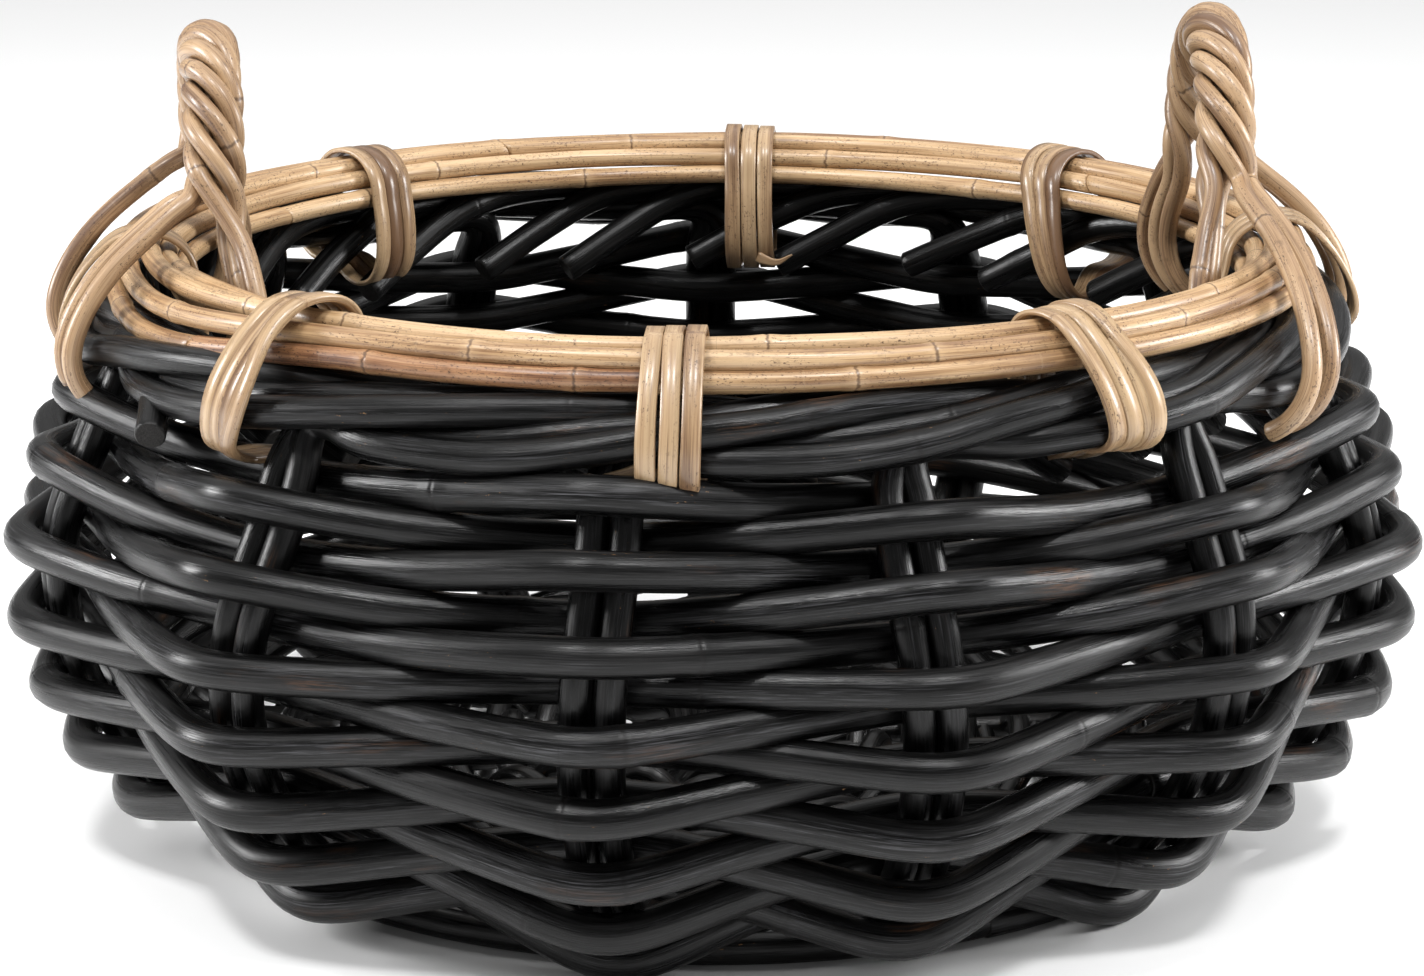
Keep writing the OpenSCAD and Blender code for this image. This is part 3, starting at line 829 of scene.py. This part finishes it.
def strand(side, middle, lead_start, lead_end, k):
    node = f"{side}_handle_strand_{k + 1}"
    top = max(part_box(f"{side}_handle_strand_{n + 1}")[1].z for n in range(STRANDS)) / MM
    moved = (k + round(ROPE_TURNS * STRANDS)) % STRANDS
    start = foot(middle, k, -1, lead_start)[::-1]
    laid = np.array([rope(middle, top, k, phi) for phi in np.arange(3, 177.1, 8.7)])
    line = soften(curve(np.vstack([start, laid, foot(middle, moved, 1, lead_end)])), STRAND_SOFTEN)
    skin = Skin()
    rod(skin, line, STRAND_D, STRAND_D, step=2.5, sides=14, side=heading(middle, 1, 0, 0),
        rings=spaced(420, rng.uniform(30, 150), 170), bulge=0.3, rough=0.03)
    piece(f"{node}_cane", skin, handle, "handle_cane", node)


# ---- Making everything ----
for k in range(1, LENGTHS + 1):
    weaver(k)
for i in range(PAIRS):
    stake_pair(i)
foot_ring()
base_sticks("base_sticks_lower", 0, BASE_Z - (STICK_D + CLEARANCE) / 2)
base_sticks("base_sticks_upper", 90, BASE_Z + (STICK_D + CLEARANCE) / 2)
base_rounds("base_rounds_lower", 0)
base_rounds("base_rounds_upper", 1)

# How far each cane moves out and up, at the left front and along the front
FAN = {"outer": (4, -11), "top_outer": (3, -7.5), "top_inner": (0.5, -2), "inner": (0, 3.5)}
FRONT_DROP = {"outer": (1, -1.5), "top_outer": (1.8, -2.6), "top_inner": (0.5, -0.4), "inner": (0, 1)}


def drift(which):
    """The canes fan apart at the left front, between the handle and the binding."""
    return [(-90, 0, 0), (-62, *FAN[which]), (-30, *FRONT_DROP[which]), (40, *FRONT_DROP[which]),
            (90, 0, 0), (180, 0, 0)]


# The outer cane is two lengths, which meet beside the front left binding and under the front one
rim_cane("rim_cane_outer", -4.4, 307.6, drift("outer"), rim, "rim_cane",
         [12, 33, 75, 100, 155, 210, 262, 290])
rim_cane("rim_cane_outer", 307.7, 355.5, drift("outer"), brown, "brown_cane", [330, 349],
         part="_brown")
rim_cane("rim_cane_top_outer", 72, 432, drift("top_outer"), rim, "rim_cane",
         [20, 47, 66, 118, 160, 205, 250, 284, 303, 340])
rim_cane("rim_cane_top_inner", 205, 565, drift("top_inner"), rim, "rim_cane",
         [5, 55, 96, 140, 190, 232, 282, 312, 325])
rim_cane("rim_cane_inner", 130, 490, drift("inner"), rim, "rim_cane",
         [30, 80, 112, 166, 215, 248, 290, 345])
rim_cane("rim_cane_inner_low", 240, 600, [(0, 0, 0), (120, 0, 0), (240, 0, 0)], rim, "rim_cane",
         [40, 90, 146, 196, 226, 275, 330])

binding("binding_front", -3.5, 3, 201, 191, lean=(1.5, 0.5),
        tail=[(-4.5, 262, 209), (-6, 264, 206.5), (-8.2, 264.5, 204.5), (-10.6, 264, 203)])
binding("binding_front_right", 34.5, 3, 205.5, 197, lean=(-6, 2.5), spread=(1, 1), loose=4)
binding("binding_back_right", 135, 3, 200, 189, lean=(6, -9), spread=(1, 0.65), dark=0)
binding("binding_back", 175.5, 3, 204, 190, lean=(0, -1),
        tail=[(175.5, 222, 197), (173.5, 214, 194), (171.5, 211, 193), (169.5, 210, 197)])
binding("binding_back_left", 224, 3, 203, 195, lean=(-3, -2), dark=1)
binding("binding_front_left", 315.5, 3, 199, 195, lean=(19, 8), spread=(0.9, 0.72), loose=6, grow=1.2)
for side, middle, lead_start, lead_end in (("left", -81, 8, 14), ("right", 90, 33, 9)):
    for k in range(STRANDS):
        strand(side, middle, lead_start, lead_end, k)
    binding(f"{side}_handle_wraps", middle, 3, 206, 197)


# ---- Floor, light and camera ----
FLOOR_HALF, FLOOR_CELLS = 14.0, 8


def floor():
    ticks = np.linspace(-FLOOR_HALF, FLOOR_HALF, FLOOR_CELLS + 1)
    verts = [(x, y, 0) for y in ticks for x in ticks]
    row = FLOOR_CELLS + 1
    faces = [(j * row + i, j * row + i + 1, (j + 1) * row + i + 1, (j + 1) * row + i)
             for j in range(FLOOR_CELLS) for i in range(FLOOR_CELLS)]
    mesh = bpy.data.meshes.new("floor")
    mesh.from_pydata(verts, [], faces)
    k = Look("floor_look")
    k.shader.inputs["Base Color"].default_value = (0.93, 0.93, 0.93, 1)
    k.shader.inputs["Roughness"].default_value = 0.9
    mesh.materials.append(k.material)
    made = bpy.data.objects.new("floor", mesh)
    bpy.context.scene.collection.objects.link(made)


def soft_box(name, place, aim, size, power):
    """A rectangular light: size in metres, power in watts."""
    light = bpy.data.lights.new(name, "AREA")
    light.shape, light.size, light.size_y, light.energy = "RECTANGLE", size[0], size[1], power
    made = bpy.data.objects.new(name, light)
    made.location = place
    made.rotation_euler = (Vector(aim) - Vector(place)).to_track_quat("-Z", "Y").to_euler()
    bpy.context.scene.collection.objects.link(made)


floor()
soft_box("overhead", (0, 1.6, 4.2), (0, 1.6, 0), (9, 9), 210)
soft_box("left_key", (-0.85, -1.05, 2.5), (0, -0.1, 0.15), (0.3, 0.3), 34)
soft_box("right_key", (0.7, -1.15, 2.5), (0, -0.1, 0.15), (0.3, 0.3), 34)
soft_box("left_light", (-2.1, 0.0, 0.9), (0, 0, 0.12), (0.6, 0.6), 40)
soft_box("right_light", (2.1, 0.0, 0.9), (0, 0, 0.12), (0.6, 0.6), 40)
bpy.context.scene.view_settings.view_transform = "Standard"
world = bpy.data.worlds.new("studio")
world.use_nodes = True
background = world.node_tree.nodes["Background"]
background.inputs["Color"].default_value = (1, 1, 1, 1)
background.inputs["Strength"].default_value = 0.3
bpy.context.scene.world = world

LOOK_DOWN = 14.28   # degrees
camera_data = bpy.data.cameras.new("camera")
camera_data.sensor_width = 36
camera_data.lens = 94.3
camera = bpy.data.objects.new("camera", camera_data)
camera.location = (0, -1.550, 0.529)
camera.rotation_euler = (np.radians(90 - LOOK_DOWN), 0, 0)
bpy.context.scene.collection.objects.link(camera)
bpy.context.scene.camera = camera
